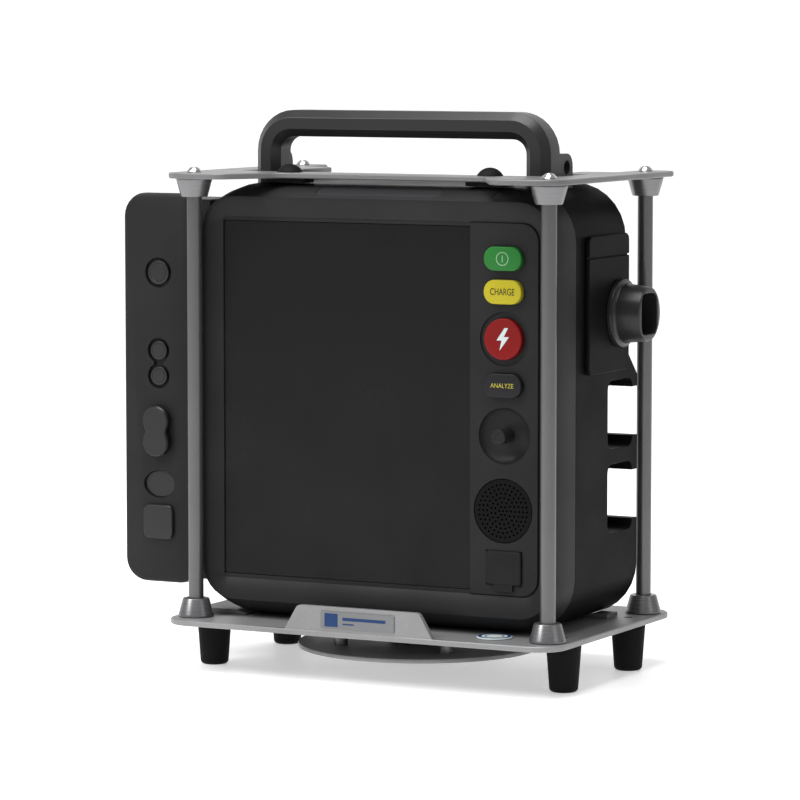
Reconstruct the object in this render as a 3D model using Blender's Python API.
"""Portable monitor-defibrillator in a four-post carrying frame, with a swivelling adapter disc.

Metres, +Z up, front towards -Y. Sizes are worked out about the frame's centre, on the top face of
the base plate. One empty then moves everything so that the origin lies under the middle of the
whole object, on the surface that its feet stand on.
"""

import math

import bmesh
import bpy
from mathutils import Matrix, Vector

MM = 0.001
GAP = 0.3 * MM                      # clearance between pieces that touch

# Carrying frame
POST_INSET = 1.5 * MM               # the posts stand this far inside the housing's sides
POST_SPACING_Y = 163 * MM
POST_DIAMETER = 11 * MM
PLATE_MARGIN_X = 16 * MM            # from the posts' axes to the edges of both plates
PLATE_MARGIN_Y = 24.5 * MM
PLATE_THICKNESS = 4 * MM
PLATE_CORNER = 21 * MM
PLATE_EDGE = 0.7 * MM               # broken edge round both plates
STUD_DIAMETER = 6 * MM              # threaded ends of posts, screws and feet
STUD_HOLE = STUD_DIAMETER + 2 * GAP
ARM_WIDTH = 29 * MM                 # side arms of the top plate
CROSSBAR_FRONT = -62 * MM
CROSSBAR_REAR = -38 * MM
LOBE_WIDTH = 50 * MM                # front corner lobes, past which the front edge steps back
TAB_REACH = 26 * MM                 # inward tab on each side arm
TAB_FRONT = 12 * MM
TAB_REAR = 58 * MM
TAB_HOLE = 4 * MM

COLLAR_WIDE = 25.8 * MM
COLLAR_NARROW = 19 * MM
COLLAR_HEIGHT = 13.2 * MM
SCREW_HEAD = 11 * MM
SCREW_DOME = 4 * MM
SCREW_SOCKET = 4 * MM               # across the corners of the hexagon socket
SCREW_LENGTH = 16 * MM

FOOT_SPACING_Y = 110 * MM
FOOT_TOP = 25 * MM
FOOT_BOTTOM = 20.4 * MM
FOOT_DROP = 38 * MM                 # top face of the base plate down to the floor

CRADLE_HEIGHT = 3.4 * MM            # blocks that locate the housing's lower corners
LIP_CENTRE = 4 * MM
LIP_BASE = 119 * MM
LIP_TOP = 96 * MM
LIP_HEIGHT = 17.5 * MM
LIP_THICKNESS = 4 * MM
LABEL_WIDTH = 58 * MM
LABEL_HEIGHT = 12 * MM
EMBLEM_X = 98 * MM
EMBLEM_Y = -79 * MM
EMBLEM_DIAMETER = 25 * MM

# Swivelling adapter under the base plate
DISC_DIAMETER = 177 * MM
DISC_THICKNESS = 3.2 * MM
DISC_DROP = 19.2 * MM               # top face of the base plate to top face of the disc
HUB_FLANGE = 66 * MM
SPINDLE = 30 * MM
RETAINER = 42 * MM                  # flange that holds the disc up, sunk in its lower face
RETAINER_SEAT = 1.8 * MM
DISC_BOSS_CIRCLE = 120 * MM

# Monitor housing
BODY_WIDTH = 283 * MM
BODY_HEIGHT = 312.2 * MM
BODY_CORNER = 39 * MM
BODY_FRONT = -74 * MM
BODY_PARTING = -40 * MM
BODY_BACK = 44.5 * MM               # back face of the upper half
BATTERY_BACK = 66 * MM              # back face of the deeper lower half
SHOULDER_HEIGHT = 175 * MM          # where the deeper half begins to slope back up
WALL = 3 * MM
RIM_SIDE = 3.5 * MM                 # how far the front rim lies in from the outline
RIM_TOP = 9.4 * MM
RIM_BOTTOM = 13 * MM
RIM_FACE = 4 * MM                   # width of the flat rim face
RIM_CORNER = 24 * MM
BEZEL_DEPTH = 5 * MM                # the bezel slopes back this far from the rim

# Display and control strip, set side by side in the front opening
BAND_LEFT = 18 * MM                 # from the housing's outline in to the opening
BAND_RIGHT = 14.2 * MM
BAND_BOTTOM = 28 * MM
BAND_TOP = 23.8 * MM
OPENING_LEFT_CORNER = 3 * MM
OPENING_RIGHT_CORNER = 13 * MM
STRIP_WIDTH = 53.6 * MM
LEDGE = 2.8 * MM                    # the display is this much shorter at each end
GLASS_SET_BACK = 1.2 * MM
GLASS_THICKNESS = 3 * MM
STRIP_PROUD = 1.2 * MM
STRIP_THICKNESS = 7 * MM
SCREEN_PANEL_THICKNESS = 6 * MM
BOARD_THICKNESS = 1.6 * MM

# Controls on the strip; each height is measured down from the strip's upper end
CONTROL_INSET = 26.3 * MM           # from the strip's right edge to the middle line of the keys
BUTTON_WIDTH = 29 * MM
BUTTON_HEIGHT = 16.8 * MM
BUTTON_CORNER = 8 * MM
BUTTON_PROUD = 4 * MM
KEY_FLANGE = 1.2 * MM               # how far a key's flange reaches past its hole
FLANGE_THICKNESS = 1 * MM
POWER_DOWN = 24.8 * MM
CHARGE_DOWN = 47.9 * MM
SHOCK_DOWN = 80.6 * MM
ANALYZE_DOWN = 113 * MM
SHOCK_DIAMETER = 29 * MM
SHOCK_PROUD = 3.2 * MM
SHOCK_SURROUND = 4.5 * MM           # width of the sunk ring round the round key
SURROUND_DEPTH = 1.2 * MM
KNOB_DOWN = 148.2 * MM
DISH_DIAMETER = 40 * MM
DISH_FLOOR = 22 * MM
DISH_DEPTH = 5.6 * MM
KNOB_DIAMETER = 10.6 * MM
KNOB_LENGTH = 14 * MM
SHAFT_DIAMETER = 6 * MM
PRESS_TRAVEL = 1.2 * MM             # how far the knob and its shaft push in
SPEAKER_DOWN = 200.7 * MM
SPEAKER_DIAMETER = 45 * MM
COVER_WIDTH = 27.4 * MM
COVER_TALL = 23.9 * MM
COVER_UP = 7.8 * MM                 # from the strip's lower end to the flap
COVER_PROUD = 2 * MM
COVER_THICKNESS = 3 * MM
COVER_POCKET_CORNER = 0.15 * MM      # small, so that the flap's square corners stay clear
COVER_TAB_WIDTH = 14.4 * MM
COVER_TAB = 4.8 * MM

# Slots through the right rear corner of the housing
SLOT_REACH = 36 * MM                # from the side face inwards
SLOT_FRONT = 14.5 * MM
SLOT_CORNER_REAR = 57 * MM
SLOT_HEIGHTS = (89.3 * MM, 149.2 * MM)
SLOT_SIDE_TALL = 49 * MM
SLOT_BACK_TALL = 35 * MM

# Therapy connector on the right side
BLOCK_PROUD = 3.5 * MM
BLOCK_FRONT = -26.3 * MM
BLOCK_DOWN = 34.5 * MM              # from the housing's top to the cover's top
BLOCK_TALL = 97.5 * MM
BLOCK_STEP = 15.3 * MM              # height of the part above the groove
BLOCK_GROOVE = 1.4 * MM
TUBE_Y = 26.3 * MM
TUBE_BASE = 48.5 * MM
TUBE_FLANGE = 3.5 * MM
TUBE_END = 38.5 * MM
TUBE_LENGTH = 22.5 * MM
TUBE_BORE_DEEP = 28 * MM            # the socket is a rounded square, a little taller than it is deep
TUBE_BORE_TALL = 30 * MM

# Carrying handle on top of the housing
HANDLE_INSET = 24.5 * MM            # the bar's outer sides lie this far inside the housing's
HANDLE_RISE = 51.5 * MM
HANDLE_Y = -22 * MM
HANDLE_THICK = 19 * MM
HANDLE_DEEP = 26 * MM
HANDLE_CHAMFER = 5.5 * MM
HANDLE_BEND = 20 * MM               # bend radius on the middle line of the bar
LUG_BACK = 9 * MM
LUG_HEIGHT = 22 * MM
LUG_THICK = 7 * MM
LUG_HOLE = 10 * MM

# Rubber mounts that clamp the top plate to the housing
BUMPER_X = 79.5 * MM
BUMPER_Y = -49.5 * MM
BUMPER_CAP = 18.5 * MM
BUMPER_RISE = 5.6 * MM
PAD_LENGTH = 34 * MM
PAD_DEPTH = 15 * MM
PAD_THICKNESS = 2.9 * MM

# Parameter module on the left side; each port is measured down from the module's top
MODULE_STAND = 70.8 * MM            # from the housing's side to the module's outer side
MODULE_WIDTH = 62 * MM
MODULE_BOTTOM = 19.4 * MM
MODULE_DOWN = 9 * MM                # its top lies this far below the housing's
MODULE_FRONT = -60 * MM
MODULE_FACE = 9 * MM                # thickness of its face plate
MODULE_BACK = -12 * MM
MODULE_CORNER = 17 * MM
MODULE_CHAMFER = 3 * MM
PORT_INSET = 29.3 * MM              # from the module's outer side to the line of ports
PORT_RECESS = 3 * MM
PORT_RING = 2.4 * MM                # open ring round each plug face
ROUND_DOWN = 57.6 * MM
ROUND_RADIUS = 8.6 * MM
TWIN_DOWN = (114.3 * MM, 132.9 * MM)
TWIN_RADIUS = 6.75 * MM
PEANUT_DOWN = 173 * MM
PEANUT_WIDTH = 21.4 * MM
PEANUT_TALL = 37 * MM
PEANUT_PROUD = 6 * MM
PEANUT_WAIST = 17.5 * MM
OVAL_DOWN = 212.1 * MM
OVAL_WIDTH = 25.7 * MM
OVAL_TALL = 19.9 * MM
OVAL_INSERT = 0.6 * MM
SQUARE_DOWN = 239.5 * MM
SQUARE_SIZE = 25 * MM
SQUARE_PROUD = 2.5 * MM

# Pieces inside
BATTERY_WIDTH = 110 * MM
BATTERY_BOTTOM = 24 * MM
BATTERY_TOP = 150 * MM
BATTERY_DEPTH = 58 * MM
CAPACITOR_DIAMETER = 46 * MM
CAPACITOR_LENGTH = 80 * MM

# Sizes that follow
BODY_BOTTOM = GAP
BODY_TOP = BODY_BOTTOM + BODY_HEIGHT
BODY_SIDE = BODY_WIDTH / 2
POST_SPACING_X = BODY_WIDTH - 2 * POST_INSET
FOOT_SPACING_X = POST_SPACING_X
PLATE_LENGTH = POST_SPACING_X + 2 * PLATE_MARGIN_X
PLATE_DEPTH = POST_SPACING_Y + 2 * PLATE_MARGIN_Y
TOP_PLATE_UNDERSIDE = BODY_TOP + GAP + PAD_THICKNESS + GAP
FRAME_HEIGHT = TOP_PLATE_UNDERSIDE + PLATE_THICKNESS
HANDLE_WIDTH = BODY_WIDTH - 2 * HANDLE_INSET
HANDLE_TOP = BODY_TOP + HANDLE_RISE
HANDLE_FOOT = BODY_TOP - BODY_CORNER / 4
OPENING_LEFT = -BODY_SIDE + BAND_LEFT
OPENING_RIGHT = BODY_SIDE - BAND_RIGHT
OPENING_BOTTOM = BODY_BOTTOM + BAND_BOTTOM
OPENING_TOP = BODY_TOP - BAND_TOP
SPLIT_X = OPENING_RIGHT - STRIP_WIDTH
CONTROL_X = OPENING_RIGHT - CONTROL_INSET
BEZEL_BACK = BODY_FRONT + BEZEL_DEPTH
STRIP_FRONT = BEZEL_BACK - STRIP_PROUD
STRIP_BACK = STRIP_FRONT + STRIP_THICKNESS
BUTTON_LENGTH = BUTTON_PROUD + STRIP_THICKNESS + GAP + FLANGE_THICKNESS
SHOCK_HEIGHT = OPENING_TOP - SHOCK_DOWN
KNOB_HEIGHT = OPENING_TOP - KNOB_DOWN
SPEAKER_HEIGHT = OPENING_TOP - SPEAKER_DOWN
COVER_BOTTOM = OPENING_BOTTOM + COVER_UP
COVER_TOP = COVER_BOTTOM + COVER_TALL
GLASS_FRONT = BEZEL_BACK + GLASS_SET_BACK
GLASS_BACK = GLASS_FRONT + GLASS_THICKNESS
SCREEN_BACK = GLASS_BACK + GAP + SCREEN_PANEL_THICKNESS
BOARD_FRONT = SCREEN_BACK + 7 * MM
SLOPE_TOP = SHOULDER_HEIGHT + BATTERY_BACK - BODY_BACK
BLOCK_FACE = BODY_SIDE + GAP + BLOCK_PROUD
BLOCK_TOP = BODY_TOP - BLOCK_DOWN
BLOCK_BOTTOM = BLOCK_TOP - BLOCK_TALL
BLOCK_SPLIT = BLOCK_TOP - BLOCK_STEP
TUBE_Z = (BLOCK_BOTTOM + BLOCK_SPLIT) / 2
MODULE_LEFT = -BODY_SIDE - MODULE_STAND
MODULE_TOP = BODY_TOP - MODULE_DOWN
PORT_X = MODULE_LEFT + PORT_INSET
OBJECT_RIGHT = BLOCK_FACE + GAP + TUBE_LENGTH
ORIGIN = Vector(((MODULE_LEFT + OBJECT_RIGHT) / 2, 0, -FOOT_DROP))

KEYS = {
    "power": OPENING_TOP - POWER_DOWN,
    "charge": OPENING_TOP - CHARGE_DOWN,
    "analyze": OPENING_TOP - ANALYZE_DOWN,
}
KEY_COLOURS = {"power": (0.047, 0.21, 0.05), "charge": (0.45, 0.4, 0.055), "analyze": (0.03, 0.03, 0.03)}
ROUND_PORTS = (
    ("round_socket", MODULE_TOP - ROUND_DOWN, ROUND_RADIUS),
    ("twin_socket_high", MODULE_TOP - TWIN_DOWN[0], TWIN_RADIUS),
    ("twin_socket_low", MODULE_TOP - TWIN_DOWN[1], TWIN_RADIUS),
)
CORNERS = {
    "front_left": (-1, -1),
    "front_right": (1, -1),
    "rear_left": (-1, 1),
    "rear_right": (1, 1),
}


# Shape helpers


def arc(centre_x, centre_y, radius, start, end, steps):
    """Points on an arc, both ends included; angles in degrees."""
    points = []
    for step in range(steps + 1):
        angle = math.radians(start + (end - start) * step / steps)
        points.append((centre_x + radius * math.cos(angle), centre_y + radius * math.sin(angle)))
    return points


def rounded(corners, steps=5):
    """Closed outline through (x, y, radius) corners, each radius drawn as an arc."""
    points = []
    for index, (x, y, radius) in enumerate(corners):
        here = Vector((x, y))
        if radius == 0:
            points.append((x, y))
            continue
        before = (Vector(corners[index - 1][:2]) - here).normalized()
        after = (Vector(corners[(index + 1) % len(corners)][:2]) - here).normalized()
        half = before.angle(after) / 2
        reach = radius / math.tan(half)
        centre = here + (before + after).normalized() * (radius / math.sin(half))
        first = here + before * reach - centre
        last = here + after * reach - centre
        start = math.atan2(first.y, first.x)
        turn = (math.atan2(last.y, last.x) - start + math.pi) % math.tau - math.pi
        end = start + turn
        points += arc(centre.x, centre.y, radius, math.degrees(start), math.degrees(end), steps)
    return points


def panel(left, right, bottom, top, radius, steps=5):
    """Rounded rectangle; radius is one value, or one for each corner from bottom left round."""
    radii = radius if isinstance(radius, tuple) else (radius,) * 4
    corners = ((left, bottom), (right, bottom), (right, top), (left, top))
    return rounded([(x, y, r) for (x, y), r in zip(corners, radii)], steps)


def along(axis, across, height):
    """A point of an outline across the axis, at a height along it."""
    a, b = across
    return {"X": (height, a, b), "Y": (a, height, b), "Z": (a, b, height)}[axis]


def new_object(name, mesh_data):
    bmesh.ops.recalc_face_normals(mesh_data, faces=mesh_data.faces)
    mesh = bpy.data.meshes.new(name)
    mesh_data.to_mesh(mesh)
    mesh_data.free()
    obj = bpy.data.objects.new(name, mesh)
    bpy.context.scene.collection.objects.link(obj)
    obj.parent = bpy.data.objects["frame_origin"]
    return obj


def loft(name, rings, endless=False):
    """Skin over rings of equal point counts: capped at both ends, or joined end to start."""
    shape = bmesh.new()
    rows = [[shape.verts.new(point) for point in ring] for ring in rings]
    pairs = list(zip(rows, rows[1:]))
    if endless:
        pairs.append((rows[-1], rows[0]))
    else:
        shape.faces.new(rows[0])
        shape.faces.new(rows[-1])
    for low, high in pairs:
        for index in range(len(low)):
            after = (index + 1) % len(low)
            shape.faces.new((low[index], low[after], high[after], high[index]))
    return new_object(name, shape)


def prism(name, outline, axis, low, high):
    """An outline drawn across an axis and extruded between two heights along it."""
    return loft(name, [[along(axis, point, height) for point in outline] for height in (low, high)])


def turned(name, profile, steps=18, hollow=False):
    """A (radius, height) profile spun about Z; a hollow one runs back to its first point."""
    shape = bmesh.new()
    points = [shape.verts.new((radius, 0, height)) for radius, height in profile]
    pairs = list(zip(points, points[1:]))
    if hollow:
        pairs.append((points[-1], points[0]))
    edges = [shape.edges.new(pair) for pair in pairs]
    bmesh.ops.spin(
        shape, geom=points + edges, cent=(0, 0, 0), axis=(0, 0, 1),
        angle=math.tau, steps=steps, use_merge=True
    )
    bmesh.ops.remove_doubles(shape, verts=shape.verts, dist=1e-6)
    return new_object(name, shape)


def hung_at(obj, x, y, z):
    """Moves a piece's own origin to a point of the frame without moving the piece."""
    obj.data.transform(Matrix.Translation((-x, -y, -z)))
    obj.location = (x, y, z)
    return obj


def face_front(obj, x, y, z):
    """Places a turned piece with its own +Z pointing to the front."""
    obj.location = (x, y, z)
    obj.rotation_euler = (math.radians(90), 0, 0)
    return obj


def face_right(obj, x, y, z):
    """Places a turned piece with its own +Z pointing to the right."""
    obj.location = (x, y, z)
    obj.rotation_euler = (0, math.radians(90), 0)
    return obj


def combine(obj, others, operation):
    for other in others:
        other.hide_render = True
        other.display_type = "WIRE"
        step = obj.modifiers.new(f"{operation.lower()} {other.name}", "BOOLEAN")
        step.operation = operation
        step.object = other
    return obj


def cut(obj, *others):
    return combine(obj, others, "DIFFERENCE")


def join(obj, *others):
    return combine(obj, others, "UNION")


def soften(obj, width, segments=2):
    """Rounds the sharp edges made so far."""
    step = obj.modifiers.new("edge", "BEVEL")
    step.width = width
    step.segments = segments
    step.limit_method = "ANGLE"
    step.angle_limit = math.radians(40)
    return obj


def finish(obj, name, colour, roughness, metallic=0.0):
    """Smooth shading between nearly flat neighbours, and one Principled material."""
    obj.data.shade_smooth()
    obj.data.set_sharp_from_angle(angle=math.radians(35))
    material = bpy.data.materials.get(name) or bpy.data.materials.new(name)
    material.use_nodes = True
    shader = material.node_tree.nodes["Principled BSDF"]
    shader.inputs["Base Color"].default_value = (*colour, 1)
    shader.inputs["Roughness"].default_value = roughness
    shader.inputs["Metallic"].default_value = metallic
    obj.data.materials.clear()
    obj.data.materials.append(material)
    return obj


def moulded_black(obj):
    return finish(obj, "moulded black ABS", (0.035, 0.035, 0.036), 0.5)


def satin_silver(obj):
    return finish(obj, "anodised aluminium", (0.32, 0.32, 0.33), 0.35, 0.9)


def grey_tube(obj):
    return finish(obj, "anodised tube", (0.2, 0.2, 0.21), 0.4, 0.9)


def polished_steel(obj):
    return finish(obj, "polished stainless steel", (0.7, 0.7, 0.7), 0.12, 1.0)


def black_rubber(obj):
    return finish(obj, "black rubber", (0.012, 0.012, 0.012), 0.75)


def dark_glass(obj):
    return finish(obj, "dark cover glass", (0.018, 0.017, 0.018), 0.15)


def coloured_key(obj, name, colour):
    return finish(obj, f"{name} silicone key", colour, 0.4)


def drilled(name, radius, x, y, low, high, steps=14):
    """A round cutter along Z."""
    outline = arc(0, 0, radius, 0, 360 * (steps - 1) / steps, steps - 1)
    hole = prism(name, outline, "Z", low, high)
    hole.location = (x, y, 0)
    return hole


def post_place(side_x, side_y):
    return side_x * POST_SPACING_X / 2, side_y * POST_SPACING_Y / 2


def foot_place(side_x, side_y):
    return side_x * FOOT_SPACING_X / 2, side_y * FOOT_SPACING_Y / 2


# Carrying frame


def make_front_lip():
    """The raised name bar along the front edge: a trapezoid with rounded upper corners."""
    front = -PLATE_DEPTH / 2 + PLATE_EDGE + 0.1 * MM
    corners = [
        (LIP_CENTRE - LIP_BASE / 2, -PLATE_THICKNESS / 2, 0),
        (LIP_CENTRE + LIP_BASE / 2, -PLATE_THICKNESS / 2, 0),
        (LIP_CENTRE + LIP_TOP / 2, LIP_HEIGHT, LIP_HEIGHT / 4),
        (LIP_CENTRE - LIP_TOP / 2, LIP_HEIGHT, LIP_HEIGHT / 4),
    ]
    return prism("front_lip_join", rounded(corners), "Y", front, front + LIP_THICKNESS)


def make_base_plate():
    outline = panel(-PLATE_LENGTH / 2, PLATE_LENGTH / 2, -PLATE_DEPTH / 2, PLATE_DEPTH / 2, PLATE_CORNER, 6)
    plate = soften(prism("base_plate", outline, "Z", -PLATE_THICKNESS, 0), PLATE_EDGE, 1)
    join(plate, make_front_lip())
    for corner, sides in CORNERS.items():
        for use, place in (("stud", post_place(*sides)), ("foot", foot_place(*sides))):
            hole = drilled(
                f"base_{use}_hole_{corner}", STUD_HOLE / 2, *place, -2 * PLATE_THICKNESS, PLATE_THICKNESS
            )
            cut(plate, hole)
    return satin_silver(plate)


def top_plate_outline():
    """Two side arms and a front crossbar; the rear is open so that the monitor's back is free."""
    outer_x = PLATE_LENGTH / 2
    outer_y = PLATE_DEPTH / 2
    inner_x = outer_x - ARM_WIDTH
    tab_x = inner_x - TAB_REACH
    lobe_x = outer_x - LOBE_WIDTH
    small = ARM_WIDTH / 5
    right_half = [
        (lobe_x, -outer_y, PLATE_CORNER * 0.6),
        (outer_x, -outer_y, PLATE_CORNER),
        (outer_x, outer_y, PLATE_CORNER * 0.65),
        (inner_x, outer_y, PLATE_CORNER * 0.65),
        (inner_x, TAB_REAR, small),
        (tab_x, TAB_REAR, small),
        (tab_x, TAB_FRONT, small),
        (inner_x, TAB_FRONT, small),
        (inner_x, CROSSBAR_REAR, small),
    ]
    step = (lobe_x - (CROSSBAR_FRONT + outer_y) * 0.55, CROSSBAR_FRONT, PLATE_CORNER * 0.6)
    left_half = [(-x, y, radius) for x, y, radius in reversed(right_half)]
    left_step = (-step[0], step[1], step[2])
    return rounded([step] + right_half + left_half + [left_step], 4)


def make_top_plate():
    plate = prism("top_plate", top_plate_outline(), "Z", TOP_PLATE_UNDERSIDE, FRAME_HEIGHT)
    soften(plate, PLATE_EDGE, 1)
    low = TOP_PLATE_UNDERSIDE - PLATE_THICKNESS
    high = FRAME_HEIGHT + PLATE_THICKNESS
    for corner, sides in CORNERS.items():
        cut(plate, drilled(f"top_screw_hole_{corner}", STUD_HOLE / 2, *post_place(*sides), low, high))
    for side, name in ((-1, "left"), (1, "right")):
        cut(plate, drilled(f"bumper_hole_{name}", STUD_HOLE / 2, side * BUMPER_X, BUMPER_Y, low, high))
        tab_middle = PLATE_LENGTH / 2 - ARM_WIDTH - TAB_REACH / 4
        tab_hole_y = TAB_FRONT + TAB_REACH / 2
        cut(plate, drilled(f"tab_hole_{name}", TAB_HOLE / 2, side * tab_middle, tab_hole_y, low, high, 10))
    return satin_silver(plate)


def make_post(corner, sides):
    """A round bar with a threaded stud below and a tapped hole above."""
    top = TOP_PLATE_UNDERSIDE - GAP
    bore_floor = FRAME_HEIGHT + GAP - SCREW_LENGTH - 2 * MM
    profile = [
        (0, GAP - PLATE_THICKNESS),
        (STUD_DIAMETER / 2, GAP - PLATE_THICKNESS),
        (STUD_DIAMETER / 2, GAP),
        (POST_DIAMETER / 2, GAP),
        (POST_DIAMETER / 2, top),
        (STUD_HOLE / 2, top),
        (STUD_HOLE / 2, bore_floor),
        (0, bore_floor),
    ]
    post = turned(f"post_{corner}", profile, 14)
    post.location = (*post_place(*sides), 0)
    return grey_tube(post)


def collar_profile():
    """Half section of a collar that stands on z = 0, wide end down."""
    edge = 0.6 * MM
    bore = POST_DIAMETER / 2 + GAP
    return [
        (bore, 0),
        (COLLAR_WIDE / 2, 0),
        (COLLAR_WIDE / 2, 2 * edge),
        (COLLAR_NARROW / 2, COLLAR_HEIGHT),
        (bore, COLLAR_HEIGHT),
    ]


def make_collars(corner, sides):
    lower = turned(f"lower_collar_{corner}", collar_profile(), 16, hollow=True)
    lower.location = (*post_place(*sides), GAP)
    upper = turned(f"upper_collar_{corner}", collar_profile(), 16, hollow=True)
    upper.location = (*post_place(*sides), TOP_PLATE_UNDERSIDE - GAP)
    upper.rotation_euler = (math.radians(180), 0, 0)
    return grey_tube(lower), grey_tube(upper)


def make_top_screw(corner, sides):
    """Button-head screw with a hexagon socket."""
    radius = SCREW_HEAD / 2
    ball = (radius**2 + SCREW_DOME**2) / (2 * SCREW_DOME)
    flat = SCREW_SOCKET / 2 + 0.4 * MM
    profile = [(0, -SCREW_LENGTH), (STUD_DIAMETER / 2, -SCREW_LENGTH), (STUD_DIAMETER / 2, 0)]
    for step in range(4):
        across = radius + (flat - radius) * step / 3
        profile.append((across, SCREW_DOME - ball + math.sqrt(ball**2 - across**2)))
    profile.append((0, profile[-1][1]))
    screw = turned(f"top_screw_{corner}", profile, 14)
    screw.location = (*post_place(*sides), FRAME_HEIGHT + GAP)
    socket = prism(
        f"socket_{corner}", arc(0, 0, SCREW_SOCKET / 2, 0, 300, 5), "Z", SCREW_DOME / 2, 2 * SCREW_DOME
    )
    socket.location = screw.location
    return polished_steel(cut(screw, socket))


def make_foot(corner, sides):
    """Tapered rubber foot with a rounded heel and a nipple that presses into the base plate."""
    top = -PLATE_THICKNESS - GAP
    heel = 3 * MM
    profile = [
        (0, -2 * GAP),
        (STUD_DIAMETER / 2, -2 * GAP),
        (STUD_DIAMETER / 2, top),
        (FOOT_TOP / 2 - 0.6 * MM, top),
        (FOOT_TOP / 2, top - 0.6 * MM),
    ]
    profile += arc(FOOT_BOTTOM / 2 - heel, -FOOT_DROP + heel, heel, 0, -90, 3)
    profile.append((0, -FOOT_DROP))
    foot = turned(f"foot_{corner}", profile, 16)
    foot.location = (*foot_place(*sides), 0)
    return black_rubber(foot)


def make_name_label():
    """A blank label that sits on the front of the lip."""
    front = -PLATE_DEPTH / 2
    back = front + PLATE_EDGE + 0.1 * MM - GAP
    middle = LIP_HEIGHT * 0.48
    outline = panel(
        LIP_CENTRE - LABEL_WIDTH / 2,
        LIP_CENTRE + LABEL_WIDTH / 2,
        middle - LABEL_HEIGHT / 2,
        middle + LABEL_HEIGHT / 2,
        1 * MM,
        3,
    )
    label = prism("name_label", outline, "Y", front, back)
    return finish(label, "printed label film", (0.22, 0.22, 0.23), 0.45)


def make_cradle_block(name, side, width, front, back):
    """A locating block whose inner side follows the rounded lower corner of the housing."""
    centre_x = BODY_SIDE - BODY_CORNER
    centre_z = BODY_BOTTOM + BODY_CORNER
    inner = BODY_CORNER + GAP
    top_angle = math.degrees(math.asin((CRADLE_HEIGHT - centre_z) / inner))
    low_angle = math.degrees(math.asin((GAP + 0.6 * MM - centre_z) / inner))
    curve = arc(centre_x, centre_z, inner, top_angle, low_angle, 5)
    reach = curve[0][0] + width
    corners = curve + [(curve[-1][0], GAP), (reach, GAP), (reach, CRADLE_HEIGHT)]
    block = prism(name, [(side * x, z) for x, z in corners], "Y", front, back)
    return satin_silver(block)


# Swivelling adapter


def make_swivel_hub():
    """A turned hub whose spindle carries the disc on a flange sunk in the disc's lower face."""
    top = -PLATE_THICKNESS - GAP
    shoulder = -DISC_DROP + GAP
    low = -DISC_DROP - DISC_THICKNESS
    profile = [
        (0, top),
        (HUB_FLANGE / 2, top),
        (HUB_FLANGE / 2, top - 4 * MM),
        (SPINDLE / 2 + 10 * MM, top - 6 * MM),
        (SPINDLE / 2 + 7 * MM, shoulder),
        (SPINDLE / 2, shoulder),
        (SPINDLE / 2, low + RETAINER_SEAT - GAP),
        (RETAINER / 2, low + RETAINER_SEAT - GAP),
        (RETAINER / 2, low + GAP),
        (0, low + GAP),
    ]
    return satin_silver(turned("swivel_hub", profile, 28))


def make_swivel_disc():
    """The adapter disc that turns on the hub's spindle, with clamp bosses on its upper face."""
    top = -DISC_DROP
    low = top - DISC_THICKNESS
    edge = 0.8 * MM
    bore = SPINDLE / 2 + GAP
    seat = RETAINER / 2 + GAP
    rim = DISC_DIAMETER / 2
    profile = [
        (bore, low + RETAINER_SEAT),
        (seat, low + RETAINER_SEAT),
        (seat, low),
        (rim - edge, low),
        (rim, low + edge),
        (rim, top - edge),
        (rim - edge, top),
        (bore, top),
    ]
    disc = turned("swivel_disc", profile, 40, hollow=True)
    for index in range(4):
        angle = math.radians(45 + 90 * index)
        x = DISC_BOSS_CIRCLE / 2 * math.cos(angle)
        y = DISC_BOSS_CIRCLE / 2 * math.sin(angle)
        join(disc, drilled(f"disc_boss_{index}", 5 * MM, x, y, low + 1 * MM, top + 6 * MM, 12))
    return satin_silver(disc)


# Monitor housing


def body_outline(side_in, top_in, bottom_in, corner, steps=7):
    """The housing's front outline, drawn in by an amount on each side."""
    return panel(
        -BODY_SIDE + side_in, BODY_SIDE - side_in, BODY_BOTTOM + bottom_in, BODY_TOP - top_in, corner, steps
    )


def front_stations(inset):
    """Outlines of the front housing from the parting plane to the rim, each drawn in by inset."""
    stations = []
    for share in (0, 0.35, 0.6, 0.78, 0.9, 1):
        bulge = share**2.4
        y = BODY_PARTING + share * (BODY_FRONT - BODY_PARTING)
        corner = BODY_CORNER + (RIM_CORNER - BODY_CORNER) * bulge - inset * 0.5
        outline = body_outline(
            RIM_SIDE * bulge + inset, RIM_TOP * bulge + inset, RIM_BOTTOM * bulge + inset, corner
        )
        stations.append((y, outline))
    return stations


def placed(y, outline):
    return [(x, y, z) for x, z in outline]


def light_cutter(name, left, right, clearance):
    """A flat-ended bar that passes through the sloping band above the display."""
    front = BODY_FRONT + 3.5 * MM - clearance
    back = BODY_FRONT + 16 * MM + clearance
    outline = panel(left - clearance, right + clearance, front, back, 4 * MM + clearance, 5)
    return prism(name, outline, "Z", BODY_TOP - RIM_TOP - 2 * MM - clearance, BODY_TOP + RIM_TOP)


LIGHTS = {"alarm_light": (-48.7 * MM, 48.7 * MM), "status_light": (91 * MM, 109.5 * MM)}


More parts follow.
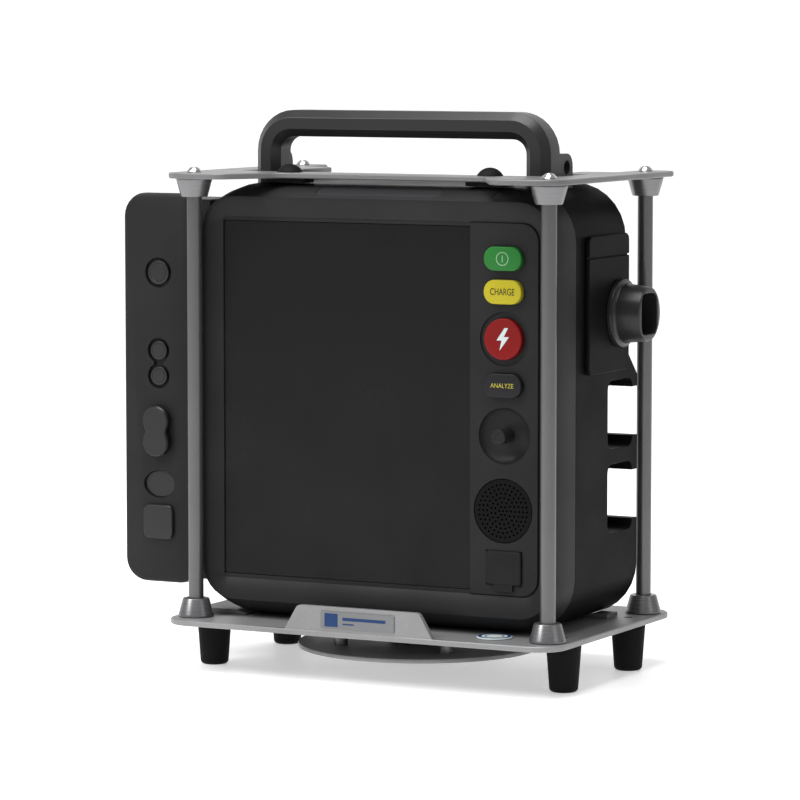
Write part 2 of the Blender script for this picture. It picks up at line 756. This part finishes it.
def make_front_housing():
    """A bezel shell: full outline at the parting plane, curving in to the rim round the display."""
    outer = [placed(y, outline) for y, outline in front_stations(0)]
    rim = body_outline(RIM_SIDE + RIM_FACE, RIM_TOP + RIM_FACE, RIM_BOTTOM + RIM_FACE, RIM_CORNER - RIM_FACE)
    radii = (OPENING_LEFT_CORNER, OPENING_RIGHT_CORNER, OPENING_RIGHT_CORNER, OPENING_LEFT_CORNER)
    opening = panel(OPENING_LEFT, OPENING_RIGHT, OPENING_BOTTOM, OPENING_TOP, radii, 7)
    wall_back = BEZEL_BACK + 2 * WALL
    inner = []
    for y, outline in reversed(front_stations(WALL)):
        if y > wall_back:
            inner.append(placed(y, outline))
    floor = body_outline(RIM_SIDE + WALL, RIM_TOP + WALL, RIM_BOTTOM + WALL, RIM_CORNER - WALL)
    rings = outer + [placed(BODY_FRONT, rim), placed(BEZEL_BACK, opening), placed(wall_back, opening)]
    rings += [placed(wall_back, floor)] + inner
    shell = loft("front_housing", rings, endless=True)
    reach = 1.5 * MM
    back = BEZEL_BACK + GLASS_SET_BACK + GLASS_THICKNESS
    for name, low, high in (
        ("lower_ledge", OPENING_BOTTOM - reach, OPENING_BOTTOM + LEDGE),
        ("upper_ledge", OPENING_TOP - LEDGE, OPENING_TOP + reach),
    ):
        outline = panel(OPENING_LEFT - reach, SPLIT_X, low, high, 0)
        join(shell, prism(name, outline, "Y", BEZEL_BACK + 0.4 * MM, back))
    for name, (left, right) in LIGHTS.items():
        cut(shell, light_cutter(f"{name}_pocket", left, right, GAP))
    return moulded_black(shell)


def make_light(name, left, right):
    """A lamp window let into the band: the same curve as the housing, a little below it."""
    lens = light_cutter(name, left, right, 0)
    outer = loft(f"{name}_outer", [placed(y, outline) for y, outline in front_stations(0.25 * MM)])
    combine(lens, [outer], "INTERSECT")
    return finish(lens, "smoked lamp window", (0.05, 0.05, 0.052), 0.35)


def side_profile(inset, front):
    """Side view of the rear housing: a thin upper half and a deeper lower half with a sloping shoulder."""
    return [
        (front, BODY_BOTTOM + inset),
        (BATTERY_BACK - inset, BODY_BOTTOM + inset),
        (BATTERY_BACK - inset, SHOULDER_HEIGHT - inset / 2),
        (BODY_BACK - inset, SLOPE_TOP - inset / 2),
        (BODY_BACK - inset, BODY_TOP - inset),
        (front, BODY_TOP - inset),
    ]


def rear_block(name, inset, front):
    """Rounded front outline run to the back, trimmed to the side view."""
    corner = BODY_CORNER - inset * 0.5
    block = prism(name, body_outline(inset, inset, inset, corner), "Y", front, BATTERY_BACK + WALL)
    trim = prism(f"{name}_side_view", side_profile(inset, front - WALL), "X", -BODY_WIDTH, BODY_WIDTH)
    return combine(block, [trim], "INTERSECT")


def box(name, left, right, front, back, bottom, top):
    return prism(name, panel(left, right, front, back, 0), "Z", bottom, top)


def make_rear_housing():
    front = BODY_PARTING + GAP
    shell = rear_block("rear_housing", 0, front)
    cavity = rear_block("rear_cavity", WALL, front - WALL)
    slot_inner = BODY_SIDE - SLOT_REACH
    cut(
        cavity,
        box(
            "slot_walls", slot_inner - WALL, BODY_WIDTH,
            SLOT_FRONT - WALL, 2 * BATTERY_BACK, -BODY_HEIGHT, SLOPE_TOP
        ),
    )
    cut(shell, cavity)
    for index, height in enumerate(SLOT_HEIGHTS):
        side = panel(
            SLOT_FRONT, SLOT_CORNER_REAR, height - SLOT_SIDE_TALL / 2, height + SLOT_SIDE_TALL / 2, 7 * MM, 4
        )
        cut(shell, prism(f"side_slot_{index}", side, "X", slot_inner, BODY_WIDTH))
        back = panel(slot_inner, BODY_WIDTH, height - SLOT_BACK_TALL / 2, height + SLOT_BACK_TALL / 2, 0)
        cut(shell, prism(f"back_slot_{index}", back, "Y", SLOT_CORNER_REAR - 10 * MM, 2 * BATTERY_BACK))
    bay = panel(
        -BATTERY_WIDTH / 2 - GAP,
        BATTERY_WIDTH / 2 + GAP,
        BATTERY_BOTTOM - GAP,
        BATTERY_TOP + GAP,
        4 * MM + GAP,
        3,
    )
    cut(shell, prism("battery_bay", bay, "Y", BATTERY_BACK - 2 * WALL, 2 * BATTERY_BACK))
    return moulded_black(shell)


def make_battery():
    outline = panel(-BATTERY_WIDTH / 2, BATTERY_WIDTH / 2, BATTERY_BOTTOM, BATTERY_TOP, 4 * MM, 3)
    pack = prism("battery_pack", outline, "Y", BATTERY_BACK - BATTERY_DEPTH, BATTERY_BACK - 2 * GAP)
    hung_at(pack, 0, BATTERY_BACK, (BATTERY_BOTTOM + BATTERY_TOP) / 2)
    soften(pack, 1.2 * MM)
    grip = panel(-30 * MM, 30 * MM, BATTERY_TOP - 34 * MM, BATTERY_TOP - 18 * MM, 5 * MM, 4)
    cut(pack, prism("battery_grip", grip, "Y", BATTERY_BACK - 9 * MM, 2 * BATTERY_BACK))
    return moulded_black(pack)


# Handle


def handle_section():
    """Octagon across the bar: (outwards, depth)."""
    half_thick = HANDLE_THICK / 2
    half_deep = HANDLE_DEEP / 2
    return [
        (half_thick, half_deep - HANDLE_CHAMFER),
        (half_thick - HANDLE_CHAMFER, half_deep),
        (HANDLE_CHAMFER - half_thick, half_deep),
        (-half_thick, half_deep - HANDLE_CHAMFER),
        (-half_thick, HANDLE_CHAMFER - half_deep),
        (HANDLE_CHAMFER - half_thick, -half_deep),
        (half_thick - HANDLE_CHAMFER, -half_deep),
        (half_thick, HANDLE_CHAMFER - half_deep),
    ]


def handle_path():
    """Middle line of the bar in the XZ plane, as (x, z, direction outwards)."""
    reach = HANDLE_WIDTH / 2 - HANDLE_THICK / 2
    crown = HANDLE_TOP - HANDLE_THICK / 2
    stations = [(-reach, HANDLE_FOOT, 180)]
    for side, start, end in ((-1, 180, 90), (1, 90, 0)):
        centre_x = side * (reach - HANDLE_BEND)
        for step in range(9):
            angle = start + (end - start) * step / 8
            x = centre_x + HANDLE_BEND * math.cos(math.radians(angle))
            z = crown - HANDLE_BEND + HANDLE_BEND * math.sin(math.radians(angle))
            stations.append((x, z, angle))
    stations.append((reach, HANDLE_FOOT, 0))
    return stations


def make_handle():
    rings = []
    for x, z, angle in handle_path():
        out_x = math.cos(math.radians(angle))
        out_z = math.sin(math.radians(angle))
        rings.append([(x + out * out_x, HANDLE_Y + deep, z + out * out_z) for out, deep in handle_section()])
    handle = loft("carry_handle", rings)
    lug_top = BODY_TOP + GAP + LUG_HEIGHT
    lug_outline = rounded(
        [
            (HANDLE_Y, HANDLE_FOOT, 0),
            (LUG_BACK, HANDLE_FOOT, 0),
            (LUG_BACK, lug_top, 9 * MM),
            (HANDLE_Y, lug_top, 0),
        ]
    )
    hole_y = LUG_BACK - LUG_HOLE
    hole_z = lug_top - LUG_HEIGHT / 2 + 1 * MM
    hole_outline = arc(hole_y, hole_z, LUG_HOLE / 2, 0, 340, 17)
    for side, name in ((-1, "left"), (1, "right")):
        outer = side * (HANDLE_WIDTH / 2 - 1 * MM)
        inner = outer - side * LUG_THICK
        lug = prism(f"lug_{name}", lug_outline, "X", min(inner, outer), max(inner, outer))
        join(handle, lug)
        hole = prism(
            f"lug_hole_{name}", hole_outline, "X", min(inner, outer) - WALL, max(inner, outer) + WALL
        )
        cut(handle, hole)
    seat = body_outline(-GAP, -GAP, -GAP, BODY_CORNER + GAP, 12)
    cut(handle, prism("handle_seat", seat, "Y", HANDLE_Y - HANDLE_DEEP, LUG_BACK + WALL))
    return moulded_black(handle)


def make_bumper(side, name):
    """A domed rubber cap above the plate, with a stem down into the pad below it."""
    ball = ((BUMPER_CAP / 2) ** 2 + BUMPER_RISE**2) / (2 * BUMPER_RISE)
    pad_top = TOP_PLATE_UNDERSIDE - GAP
    pad_low = BODY_TOP + GAP
    cap_low = FRAME_HEIGHT + GAP
    profile = [(0, pad_low + GAP), (STUD_DIAMETER / 2, pad_low + GAP), (STUD_DIAMETER / 2, cap_low)]
    widest = math.asin(BUMPER_CAP / 2 / ball)
    for step in range(6):
        angle = widest * (1 - step / 5)
        profile.append((ball * math.sin(angle), cap_low + BUMPER_RISE - ball + ball * math.cos(angle)))
    cap = turned(f"bumper_cap_{name}", profile)
    cap.location = (side * BUMPER_X, BUMPER_Y, 0)
    outline = panel(-PAD_LENGTH / 2, PAD_LENGTH / 2, -PAD_DEPTH / 2, PAD_DEPTH / 2, 4 * MM)
    pad = prism(f"bumper_pad_{name}", outline, "Z", pad_low, pad_top)
    pad.location = (side * BUMPER_X, BUMPER_Y, 0)
    cut(
        pad,
        drilled(f"pad_hole_{name}", STUD_HOLE / 2, side * BUMPER_X, BUMPER_Y, pad_low - WALL, pad_top + WALL),
    )
    return black_rubber(cap), black_rubber(pad)


# Display and inner electronics


def make_display():
    """Cover glass with the panel behind it, both held between the housing's two ledges."""
    left = OPENING_LEFT + GAP
    right = SPLIT_X - GAP
    low = OPENING_BOTTOM + LEDGE + GAP
    high = OPENING_TOP - LEDGE - GAP
    glass = prism("display_glass", panel(left, right, low, high, 1.5 * MM, 3), "Y", GLASS_FRONT, GLASS_BACK)
    inset = 4 * MM
    outline = panel(left + inset, right - inset, low + inset, high - inset, 1 * MM, 2)
    screen = prism("screen_panel", outline, "Y", GLASS_BACK + GAP, SCREEN_BACK)
    return dark_glass(glass), finish(screen, "panel frame steel", (0.25, 0.25, 0.25), 0.5, 0.6)


def make_main_board():
    """Circuit board on four standoffs behind the display panel."""
    left = OPENING_LEFT + 10 * MM
    right = SPLIT_X - 10 * MM
    low = OPENING_BOTTOM + 20 * MM
    high = OPENING_TOP - 20 * MM
    board = prism(
        "main_board", panel(left, right, low, high, 3 * MM, 3),
        "Y", BOARD_FRONT, BOARD_FRONT + BOARD_THICKNESS
    )
    reach = 8 * MM
    for x in (left + reach, right - reach):
        for z in (low + reach, high - reach):
            outline = arc(x, z, 3 * MM, 0, 315, 7)
            joined = BOARD_FRONT + BOARD_THICKNESS / 2
            join(board, prism(f"standoff_{x:.3f}_{z:.3f}", outline, "Y", SCREEN_BACK + GAP, joined))
    return finish(board, "circuit board laminate", (0.02, 0.12, 0.05), 0.5)


def make_capacitor():
    """The discharge capacitor, lying across the top of the housing behind the board."""
    radius = CAPACITOR_DIAMETER / 2
    edge = 2 * MM
    profile = [
        (0, 0),
        (radius - edge, 0),
        (radius, edge),
        (radius, CAPACITOR_LENGTH - edge),
        (radius - edge, CAPACITOR_LENGTH),
        (0, CAPACITOR_LENGTH),
    ]
    can = face_right(
        turned("capacitor", profile),
        -CAPACITOR_LENGTH / 2,
        BOARD_FRONT + BOARD_THICKNESS + GAP + radius,
        SLOPE_TOP + radius,
    )
    return finish(can, "capacitor sleeve", (0.03, 0.05, 0.09), 0.4)


# Control strip


def key_outline(clearance):
    half_width = BUTTON_WIDTH / 2 + clearance
    half_height = BUTTON_HEIGHT / 2 + clearance
    return panel(-half_width, half_width, -half_height, half_height, BUTTON_CORNER + clearance, 5)


def dish_cutter():
    """The bowl round the knob: a flat floor, a quarter-round side and a crisp rim."""
    side = (DISH_DIAMETER - DISH_FLOOR) / 2
    profile = [(0, -DISH_DEPTH)]
    for across, up in arc(0, 0, 1, -90, 0, 5):
        profile.append((DISH_FLOOR / 2 + side * across, (DISH_DEPTH + GAP) * (1 + up) - DISH_DEPTH))
    profile += [(DISH_DIAMETER / 2, WALL), (0, WALL)]
    return turned("knob_dish", profile, 32)


def make_control_panel():
    """The strip right of the display, with its key holes, knob dish, speaker hole and cover pocket."""
    left = SPLIT_X + GAP
    right = OPENING_RIGHT - GAP
    far = OPENING_RIGHT_CORNER - GAP
    outline = panel(left, right, OPENING_BOTTOM + GAP, OPENING_TOP - GAP, (1 * MM, far, far, 1 * MM), 7)
    strip = prism("control_panel", outline, "Y", STRIP_FRONT, STRIP_BACK)
    soften(strip, 0.5 * MM, 1)
    through = STRIP_THICKNESS + WALL
    for name, height in KEYS.items():
        hole = prism(f"{name}_hole", key_outline(GAP), "Y", -through, through)
        hole.location = (CONTROL_X, STRIP_FRONT, height)
        cut(strip, hole)
    shock = drilled("shock_hole", SHOCK_DIAMETER / 2 + GAP, 0, 0, -through, through, 32)
    cut(strip, face_front(shock, CONTROL_X, STRIP_FRONT, SHOCK_HEIGHT))
    surround = drilled("shock_surround", SHOCK_DIAMETER / 2 + SHOCK_SURROUND, 0, 0, -SURROUND_DEPTH, WALL, 32)
    cut(strip, face_front(surround, CONTROL_X, STRIP_FRONT, SHOCK_HEIGHT))
    cut(strip, face_front(dish_cutter(), CONTROL_X, STRIP_FRONT, KNOB_HEIGHT))
    shaft = drilled("shaft_hole", SHAFT_DIAMETER / 2 + GAP, 0, 0, -through, through, 16)
    cut(strip, face_front(shaft, CONTROL_X, STRIP_FRONT, KNOB_HEIGHT))
    speaker = drilled("speaker_hole", SPEAKER_DIAMETER / 2 + GAP, 0, 0, -through, through, 28)
    cut(strip, face_front(speaker, CONTROL_X - 1 * MM, STRIP_FRONT, SPEAKER_HEIGHT))
    pocket = panel(
        CONTROL_X - COVER_WIDTH / 2 - GAP,
        CONTROL_X + COVER_WIDTH / 2 + GAP,
        COVER_BOTTOM - GAP,
        COVER_TOP + GAP,
        COVER_POCKET_CORNER,
        1,
    )
    floor = STRIP_FRONT + COVER_THICKNESS - COVER_PROUD + GAP
    cut(strip, prism("cover_pocket", pocket, "Y", STRIP_FRONT - WALL, floor))
    middle = (COVER_BOTTOM + COVER_TOP) / 2
    port = panel(CONTROL_X - 8 * MM, CONTROL_X + 8 * MM, middle - 4 * MM, middle + 4 * MM, 1 * MM, 2)
    cut(strip, prism("service_port", port, "Y", STRIP_FRONT - WALL, STRIP_BACK - 1.5 * MM))
    return moulded_black(strip)


def make_key(name, colour):
    """A rounded key with a flange that keeps it behind the strip."""
    height = KEYS[name]
    front = STRIP_FRONT - BUTTON_PROUD
    back = front + BUTTON_LENGTH
    key = prism(f"{name}_button", key_outline(0), "Y", front, back)
    soften(key, 0.9 * MM, 1)
    key.location = (CONTROL_X, 0, height)
    flange = prism(f"{name}_flange", key_outline(KEY_FLANGE), "Y", back - FLANGE_THICKNESS, back)
    flange.location = key.location
    return coloured_key(join(key, flange), name, colour)


def make_shock_button():
    """The round key, slightly dished, with the same retaining flange."""
    radius = SHOCK_DIAMETER / 2
    collar = -STRIP_THICKNESS - GAP
    edge = 0.9 * MM
    profile = [
        (0, collar - FLANGE_THICKNESS),
        (radius + KEY_FLANGE, collar - FLANGE_THICKNESS),
        (radius + KEY_FLANGE, collar),
        (radius, collar),
        (radius, SHOCK_PROUD - edge),
        (radius - edge * 0.3, SHOCK_PROUD - edge * 0.3),
        (radius - edge, SHOCK_PROUD),
        (radius * 0.5, SHOCK_PROUD - 0.4 * MM),
        (0, SHOCK_PROUD - 0.6 * MM),
    ]
    key = face_front(turned("shock_button", profile, 32), CONTROL_X, STRIP_FRONT, SHOCK_HEIGHT)
    return coloured_key(key, "shock", (0.28, 0.02, 0.02))


def make_encoder():
    """A shaft that pushes in, and the cap that turns on it."""
    tip = 0.5 * MM
    collar = -STRIP_THICKNESS - GAP
    reach = KNOB_LENGTH - DISH_DEPTH - 3 * MM
    profile = [
        (0, collar - 4 * MM),
        (SHAFT_DIAMETER, collar - 4 * MM),
        (SHAFT_DIAMETER, collar),
        (SHAFT_DIAMETER / 2, collar),
        (SHAFT_DIAMETER / 2, reach - tip),
        (SHAFT_DIAMETER / 2 - tip, reach),
        (0, reach),
    ]
    shaft = face_front(turned("encoder_shaft", profile, 16), CONTROL_X, STRIP_FRONT, KNOB_HEIGHT)
    radius = KNOB_DIAMETER / 2
    skirt = PRESS_TRAVEL + GAP - DISH_DEPTH
    front = skirt + KNOB_LENGTH
    bore = SHAFT_DIAMETER / 2 + GAP
    edge = 0.9 * MM
    cap_profile = [
        (0, reach + GAP),
        (bore, reach + GAP),
        (bore, skirt),
        (radius, skirt),
        (radius, front - edge),
        (radius - edge * 0.3, front - edge * 0.3),
        (radius - edge, front),
        (0, front),
    ]
    cap = face_front(turned("knob_cap", cap_profile, 28), CONTROL_X, STRIP_FRONT, KNOB_HEIGHT)
    return polished_steel(shaft), moulded_black(cap)


def make_speaker():
    """Grille disc with rings of round holes, and the driver behind it."""
    radius = SPEAKER_DIAMETER / 2
    thick = 2 * MM
    grille = turned(
        "speaker_grille",
        [(0, -thick), (radius, -thick), (radius, -0.6 * MM), (radius - 0.6 * MM, 0), (0, 0)],
        28,
    )
    pitch = SPEAKER_DIAMETER / 8.6
    shape = bmesh.new()
    for ring in range(4):
        count = max(1, round(math.tau * ring * 0.8))
        for index in range(count):
            angle = math.tau * index / count
            at = Matrix.Translation(
                (ring * pitch * math.cos(angle), ring * pitch * math.sin(angle), -thick / 2)
            )
            bmesh.ops.create_cone(
                shape,
                cap_ends=True,
                segments=6,
                radius1=pitch * 0.3,
                radius2=pitch * 0.3,
                depth=2 * thick,
                matrix=at,
            )
    place = (CONTROL_X - 1 * MM, STRIP_FRONT + GAP, SPEAKER_HEIGHT)
    holes = face_front(new_object("grille_holes", shape), *place)
    cut(face_front(grille, *place), holes)
    back = -thick - GAP
    deep = back - 14 * MM
    driver = turned(
        "speaker_driver",
        [
            (0, deep),
            (radius * 0.45, deep),
            (radius * 0.45, deep + 6 * MM),
            (radius * 0.9, back - 2 * MM),
            (radius * 0.9, back),
            (radius * 0.8, back),
            (radius * 0.25, back - 5 * MM),
            (0, back - 5 * MM),
        ],
        28,
    )
    face_front(driver, *place)
    return moulded_black(grille), finish(driver, "speaker cone", (0.03, 0.03, 0.03), 0.7)


def make_service_cover():
    """A flap with a rounded top edge that swings up about that edge's own middle line."""
    thick = COVER_THICKNESS
    front = STRIP_FRONT - COVER_PROUD
    axis_y = front + thick / 2
    axis_z = COVER_TOP - thick / 2
    side = arc(axis_y, axis_z, thick / 2, 0, 180, 6)
    side += [(front, COVER_BOTTOM), (front + thick, COVER_BOTTOM)]
    left = CONTROL_X - COVER_WIDTH / 2
    right = CONTROL_X + COVER_WIDTH / 2
    flap = prism("service_cover", side, "X", left, right)
    hung_at(flap, CONTROL_X, axis_y, axis_z)
    pull = panel(
        CONTROL_X - COVER_TAB_WIDTH / 2,
        CONTROL_X + COVER_TAB_WIDTH / 2,
        COVER_BOTTOM - COVER_TAB,
        COVER_BOTTOM + 2 * MM,
        1.5 * MM,
        3,
    )
    join(flap, prism("cover_pull", pull, "Y", front + 0.2 * MM, STRIP_FRONT - GAP))
    return finish(flap, "rubber flap", (0.02, 0.02, 0.02), 0.65)


# Right side: therapy connector and its mounting cover


def make_side_cover():
    low_x = BODY_SIDE + GAP
    back = BODY_BACK - 2 * MM
    outline = panel(BLOCK_FRONT, back, BLOCK_BOTTOM, BLOCK_TOP, 5 * MM, 4)
    cover = prism("side_cover", outline, "X", low_x, BLOCK_FACE)
    soften(cover, 0.8 * MM, 1)
    groove = panel(
        BLOCK_FRONT - WALL, BODY_BACK + WALL,
        BLOCK_SPLIT - BLOCK_GROOVE / 2, BLOCK_SPLIT + BLOCK_GROOVE / 2, 0
    )
    cut(cover, prism("cover_groove", groove, "X", BLOCK_FACE - BLOCK_PROUD / 2, BLOCK_FACE + WALL))
    return moulded_black(cover)


def make_connector():
    """A tapered round shell with a rounded socket."""
    base = TUBE_BASE / 2
    fillet = 2.5 * MM
    neck = TUBE_END / 2 + 2 * MM
    profile = [(0, 0), (base, 0), (base, TUBE_FLANGE)]
    for across, up in arc(neck + fillet, TUBE_FLANGE + fillet, fillet, 270, 180, 4):
        profile.append((across, up))
    profile += [(TUBE_END / 2, TUBE_LENGTH - 1 * MM), (TUBE_END / 2 - 1 * MM, TUBE_LENGTH), (0, TUBE_LENGTH)]
    shell = face_right(turned("connector_shell", profile, 32), BLOCK_FACE + GAP, TUBE_Y, TUBE_Z)
    half_tall = TUBE_BORE_TALL / 2
    half_deep = TUBE_BORE_DEEP / 2
    bore = panel(-half_tall, half_tall, -half_deep, half_deep, 8 * MM, 6)
    socket = prism("connector_socket", bore, "Z", TUBE_FLANGE + GAP, 2 * TUBE_LENGTH)
    face_right(socket, BLOCK_FACE + GAP, TUBE_Y, TUBE_Z)
    return moulded_black(cut(shell, socket))


# Left side: parameter module


def oval(width, tall, steps=24):
    return [(width / 2 * x, tall / 2 * z) for x, z in arc(0, 0, 1, 0, 360 - 360 / steps, steps - 1)]


def make_side_module():
    """A rounded face plate with a slightly smaller box behind it that hangs on the housing."""
    face_back = MODULE_FRONT + MODULE_FACE
    outline = panel(MODULE_LEFT, MODULE_LEFT + MODULE_WIDTH, MODULE_BOTTOM, MODULE_TOP, MODULE_CORNER, 7)
    module = prism("side_module", outline, "Y", MODULE_FRONT, face_back)
    soften(module, MODULE_CHAMFER, 2)
    inset = 4 * MM
    corner = MODULE_CORNER - inset
    carcass = panel(
        MODULE_LEFT + inset,
        -BODY_SIDE - GAP,
        MODULE_BOTTOM + inset,
        MODULE_TOP - inset,
        (corner, 2 * MM, 2 * MM, corner),
        5,
    )
    join(module, prism("module_carcass", carcass, "Y", face_back - MODULE_CHAMFER * 1.5, MODULE_BACK))
    for name, height, radius in ROUND_PORTS:
        recess = drilled(f"{name}_recess", radius + PORT_RING, 0, 0, -PORT_RECESS, WALL, 28)
        cut(module, face_front(recess, PORT_X, MODULE_FRONT, height))
    high, low = (MODULE_TOP - down for down in TWIN_DOWN)
    link = box(
        "twin_link", PORT_X - 4 * MM, PORT_X + 4 * MM,
        MODULE_FRONT - WALL, MODULE_FRONT + PORT_RECESS, low, high,
    )
    cut(module, link)
    well = prism(
        "oval_well", oval(OVAL_WIDTH, OVAL_TALL), "Y", MODULE_FRONT - WALL, MODULE_FRONT + PORT_RECESS
    )
    well.location = (PORT_X, 0, MODULE_TOP - OVAL_DOWN)
    cut(module, well)
    return moulded_black(module)


def round_port(name, height, radius):
    """A plug face that stands on the floor of its recess, level with the module's face."""
    profile = [
        (0, GAP - PORT_RECESS),
        (radius, GAP - PORT_RECESS),
        (radius, -0.5 * MM),
        (radius - 0.5 * MM, 0),
        (0, 0),
    ]
    return face_front(turned(name, profile, 24), PORT_X, MODULE_FRONT, height)


def make_round_ports():
    single, high, low = [round_port(*port) for port in ROUND_PORTS]
    floor = MODULE_FRONT + PORT_RECESS - GAP
    bridge = box(
        "twin_bridge", PORT_X - 3 * MM, PORT_X + 3 * MM,
        floor - 1 * MM, floor, low.location.z, high.location.z,
    )
    low.name = "twin_socket"
    join(low, bridge, high)
    return moulded_black(single), moulded_black(low)


def make_peanut():
    """Two round ends joined by a narrower waist, as one proud connector."""
    radius = PEANUT_WIDTH / 2
    shift = PEANUT_TALL / 2 - radius
    waist = PEANUT_WAIST / 2
    fillet = (shift**2 + waist**2 - radius**2) / (2 * (radius - waist))
    lean = math.degrees(math.atan2(shift, waist + fillet))
    outline = arc(0, shift, radius, -lean, 180 + lean, 12)
    outline += arc(-waist - fillet, 0, fillet, lean, -lean, 4)[1:-1]
    outline += arc(0, -shift, radius, 180 - lean, 360 + lean, 12)
    outline += arc(waist + fillet, 0, fillet, 180 + lean, 180 - lean, 4)[1:-1]
    front = MODULE_FRONT - GAP - PEANUT_PROUD
    connector = prism("peanut_connector", outline, "Y", front, MODULE_FRONT - GAP)
    soften(connector, 1 * MM, 1)
    connector.location = (PORT_X, 0, MODULE_TOP - PEANUT_DOWN)
    return moulded_black(connector)


def make_flat_ports():
    """The oval insert, sunk in its well, and the square cap, which stands a little proud."""
    insert = oval(OVAL_WIDTH - 2 * GAP, OVAL_TALL - 2 * GAP)
    floor = MODULE_FRONT + PORT_RECESS
    socket = prism("oval_socket", insert, "Y", floor - GAP - OVAL_INSERT, floor - GAP)
    socket.location = (PORT_X, 0, MODULE_TOP - OVAL_DOWN)
    half = SQUARE_SIZE / 2
    front = MODULE_FRONT - GAP
    cap = prism("square_cap", panel(-half, half, -half, half, 5 * MM, 5), "Y", front - SQUARE_PROUD, front)
    soften(cap, 0.8 * MM, 1)
    cap.location = (PORT_X, 0, MODULE_TOP - SQUARE_DOWN)
    return moulded_black(socket), moulded_black(cap)


def make_emblem():
    radius = EMBLEM_DIAMETER / 2
    profile = [(0, 0), (radius, 0), (radius, 0.7 * MM), (radius - 0.4 * MM, 1.1 * MM), (0, 1.1 * MM)]
    disc = turned("round_emblem", profile, 32)
    disc.location = (EMBLEM_X, EMBLEM_Y, GAP)
    return finish(disc, "round label", (0.3, 0.3, 0.31), 0.4)


def clear_scene():
    for obj in list(bpy.data.objects):
        bpy.data.objects.remove(obj, do_unlink=True)


def place_origin():
    """Everything hangs on one empty, which brings the object's origin to the middle of its foot."""
    empty = bpy.data.objects.new("frame_origin", None)
    bpy.context.scene.collection.objects.link(empty)
    empty.location = -ORIGIN


def build():
    clear_scene()
    place_origin()
    make_base_plate()
    make_top_plate()
    for corner, sides in CORNERS.items():
        make_post(corner, sides)
        make_collars(corner, sides)
        make_top_screw(corner, sides)
        make_foot(corner, sides)
    make_name_label()
    make_emblem()
    make_cradle_block("cradle_block_right", 1, 12.5 * MM, 38 * MM, 56 * MM)
    make_cradle_block("cradle_block_left", -1, 31.5 * MM, -60 * MM, -20 * MM)
    make_swivel_hub()
    make_swivel_disc()
    make_front_housing()
    make_rear_housing()
    for name, (left, right) in LIGHTS.items():
        make_light(name, left, right)
    make_handle()
    for side, name in ((-1, "left"), (1, "right")):
        make_bumper(side, name)
    make_battery()
    make_display()
    make_main_board()
    make_capacitor()
    make_control_panel()
    for name, colour in KEY_COLOURS.items():
        make_key(name, colour)
    make_shock_button()
    make_encoder()
    make_speaker()
    make_service_cover()
    make_side_cover()
    make_connector()
    make_side_module()
    make_round_ports()
    make_peanut()
    make_flat_ports()


build()
